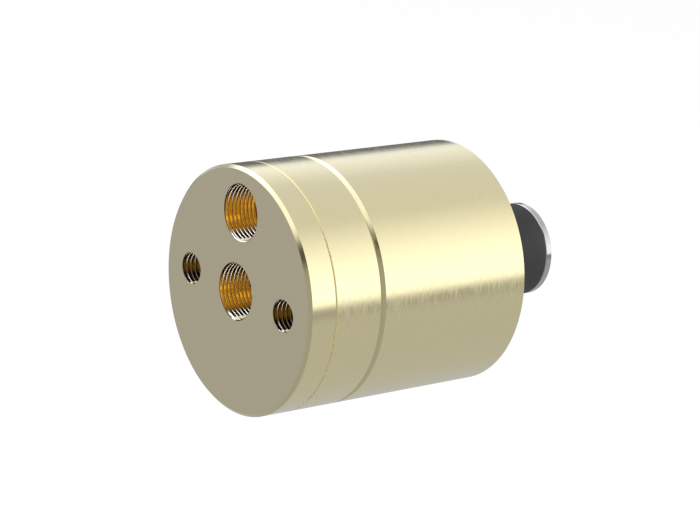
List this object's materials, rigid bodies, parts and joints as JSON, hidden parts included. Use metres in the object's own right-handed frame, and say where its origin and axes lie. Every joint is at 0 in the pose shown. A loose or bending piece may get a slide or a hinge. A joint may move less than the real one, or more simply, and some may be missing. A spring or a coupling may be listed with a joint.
{
  "type": "internal pipe sealing connector",
  "caption": "Round pneumatic connector with two threaded ports and a stepped nose, whose rubber sleeve swells to seal inside a pipe.",
  "frame": {"origin": "centre of the media port's mouth on the port face, midway between the two mounting holes", "axes": "+X along the turned axis from the port face towards the seal, +Z from the media port towards the pilot port, +Y towards one mounting hole"},
  "size_m": [0.0825, 0.056, 0.056],
  "materials": {
    "smooth_brass": "finely turned, bare",
    "turned_brass": "turned, bare",
    "blackened_steel": "black oxide",
    "ring_rubber": "matt",
    "sleeve_rubber": "matt",
    "bearing_plastic": "moulded",
    "spring_steel": "drawn wire",
    "stainless_steel": "ground",
    "polished_steel": "polished",
    "piston_aluminium": "turned"
  },
  "bodies": {
    "housing": {"port_cap": "smooth_brass", "cylinder_head": "turned_brass", "main_body": "turned_brass", "cap_screws": "blackened_steel", "media_face_ring": "ring_rubber", "pilot_face_ring": "ring_rubber", "joint_face_ring": "ring_rubber", "spigot_ring": "ring_rubber", "tail_bush": "bearing_plastic", "tail_ring": "ring_rubber", "rod_bush": "bearing_plastic", "rod_ring": "ring_rubber", "return_spring": "spring_steel", "seal_sleeve": "sleeve_rubber"},
    "piston_and_rod": {"draw_rod": "stainless_steel", "piston": "piston_aluminium", "piston_guide_band": "bearing_plastic", "piston_ring": "ring_rubber", "piston_bore_ring": "ring_rubber", "piston_nut": "stainless_steel", "end_disc": "polished_steel", "end_screw": "polished_steel"}
  },
  "joints": [
    {"name": "seal_draw", "type": "slide", "parent": "housing", "child": "piston_and_rod", "axis": [-1, 0, 0], "range_m": [0, 0.003], "stiffness_N_per_m": 5600, "springref_m": -0.005, "deforming": ["seal_sleeve", "return_spring"]}
  ]
}
